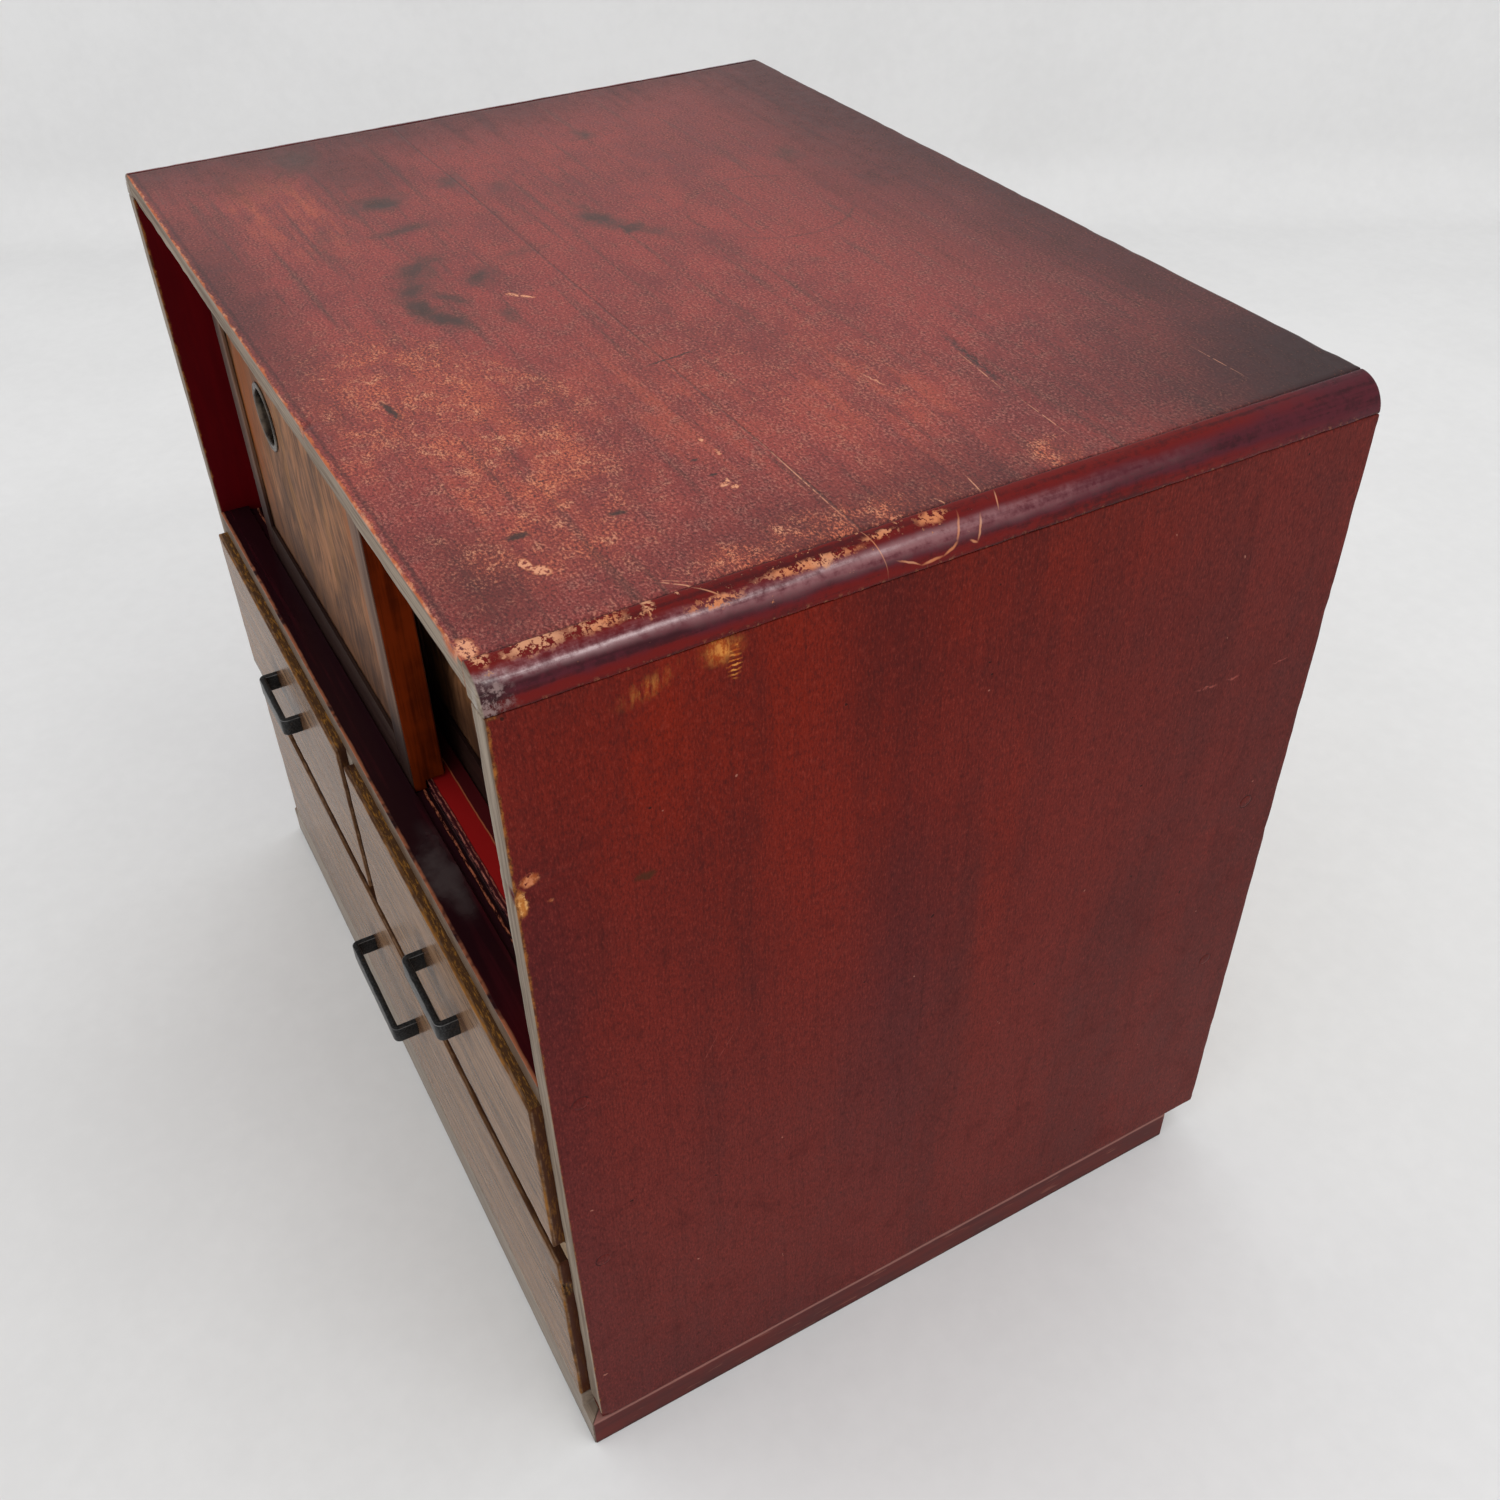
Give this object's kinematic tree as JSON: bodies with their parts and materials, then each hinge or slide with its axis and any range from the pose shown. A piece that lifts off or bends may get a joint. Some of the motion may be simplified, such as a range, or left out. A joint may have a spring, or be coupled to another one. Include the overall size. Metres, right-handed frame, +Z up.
{
  "type": "tansu chest",
  "caption": "Low lacquered tansu chest with rounded top corners, sliding framed doors over strap-pull drawers, on a low base.",
  "frame": {"origin": "on the floor, under the middle of the chest's outer box", "axes": "+X to the right along the width, -Y out of the front, +Z up"},
  "size_m": [0.6, 0.462, 0.555],
  "materials": {
    "top_lacquer": "worn red-brown lacquer, satin",
    "corner_lacquer": "dark purple-red lacquer, gloss",
    "side_lacquer": "brushed deep red lacquer, satin",
    "shelf_lacquer": "dark red lacquer, gloss",
    "worn_wood": "worn grey-tan wood, semi-gloss",
    "drawer_face": "straight-grained grey-brown wood, semi-gloss",
    "inner_wood": "unfinished softwood, matt",
    "door_frame": "dark grey-brown wood, semi-gloss",
    "door_panel": "streaky brown veneer, semi-gloss",
    "pull_iron": "black wrought iron, satin",
    "cup_metal": "dark patinated metal"
  },
  "bodies": {
    "case": {"top_board": "top_lacquer", "left_corner_piece": "corner_lacquer", "right_corner_piece": "corner_lacquer", "left_side_panel": "side_lacquer", "right_side_panel": "side_lacquer", "back_panel": "inner_wood", "bottom_board": "inner_wood", "dust_board": "inner_wood", "door_shelf": "shelf_lacquer", "drawer_divider": "worn_wood", "door_head_rail": "shelf_lacquer", "base_front_rail": "worn_wood", "base_back_rail": "inner_wood", "base_left_rail": "side_lacquer", "base_right_rail": "side_lacquer", "left_front_shelf_peg": "side_lacquer", "right_front_shelf_peg": "side_lacquer", "left_back_shelf_peg": "side_lacquer", "right_back_shelf_peg": "side_lacquer", "left_front_dust_board_peg": "side_lacquer", "right_front_dust_board_peg": "side_lacquer", "left_back_dust_board_peg": "side_lacquer", "right_back_dust_board_peg": "side_lacquer"},
    "upper_left_drawer": {"upper_left_drawer_front": "drawer_face", "upper_left_drawer_left_side": "inner_wood", "upper_left_drawer_right_side": "inner_wood", "upper_left_drawer_back": "inner_wood", "upper_left_drawer_bottom": "inner_wood", "upper_left_drawer_pull": "pull_iron"},
    "upper_right_drawer": {"upper_right_drawer_front": "drawer_face", "upper_right_drawer_left_side": "inner_wood", "upper_right_drawer_right_side": "inner_wood", "upper_right_drawer_back": "inner_wood", "upper_right_drawer_bottom": "inner_wood", "upper_right_drawer_pull": "pull_iron"},
    "lower_drawer": {"lower_drawer_front": "drawer_face", "lower_drawer_left_side": "inner_wood", "lower_drawer_right_side": "inner_wood", "lower_drawer_back": "inner_wood", "lower_drawer_bottom": "inner_wood", "lower_drawer_pull": "pull_iron"},
    "front_door": {"front_door_left_stile": "door_frame", "front_door_right_stile": "door_frame", "front_door_top_rail": "door_frame", "front_door_bottom_rail": "door_frame", "front_door_panel": "door_panel", "front_door_finger_pull": "cup_metal"},
    "rear_door": {"rear_door_left_stile": "door_frame", "rear_door_right_stile": "door_frame", "rear_door_top_rail": "door_frame", "rear_door_bottom_rail": "door_frame", "rear_door_panel": "door_panel", "rear_door_finger_pull": "cup_metal"}
  },
  "joints": [
    {"name": "upper_left_drawer_slide", "type": "slide", "parent": "case", "child": "upper_left_drawer", "axis": [0, -1, 0], "range_m": [0, 0.3]},
    {"name": "upper_right_drawer_slide", "type": "slide", "parent": "case", "child": "upper_right_drawer", "axis": [0, -1, 0], "range_m": [0, 0.3]},
    {"name": "lower_drawer_slide", "type": "slide", "parent": "case", "child": "lower_drawer", "axis": [0, -1, 0], "range_m": [0, 0.3]},
    {"name": "front_door_slide", "type": "slide", "parent": "case", "child": "front_door", "axis": [1, 0, 0], "range_m": [-0.057, 0.2225]},
    {"name": "rear_door_slide", "type": "slide", "parent": "case", "child": "rear_door", "axis": [1, 0, 0], "range_m": [-0.2795, 0]}
  ]
}
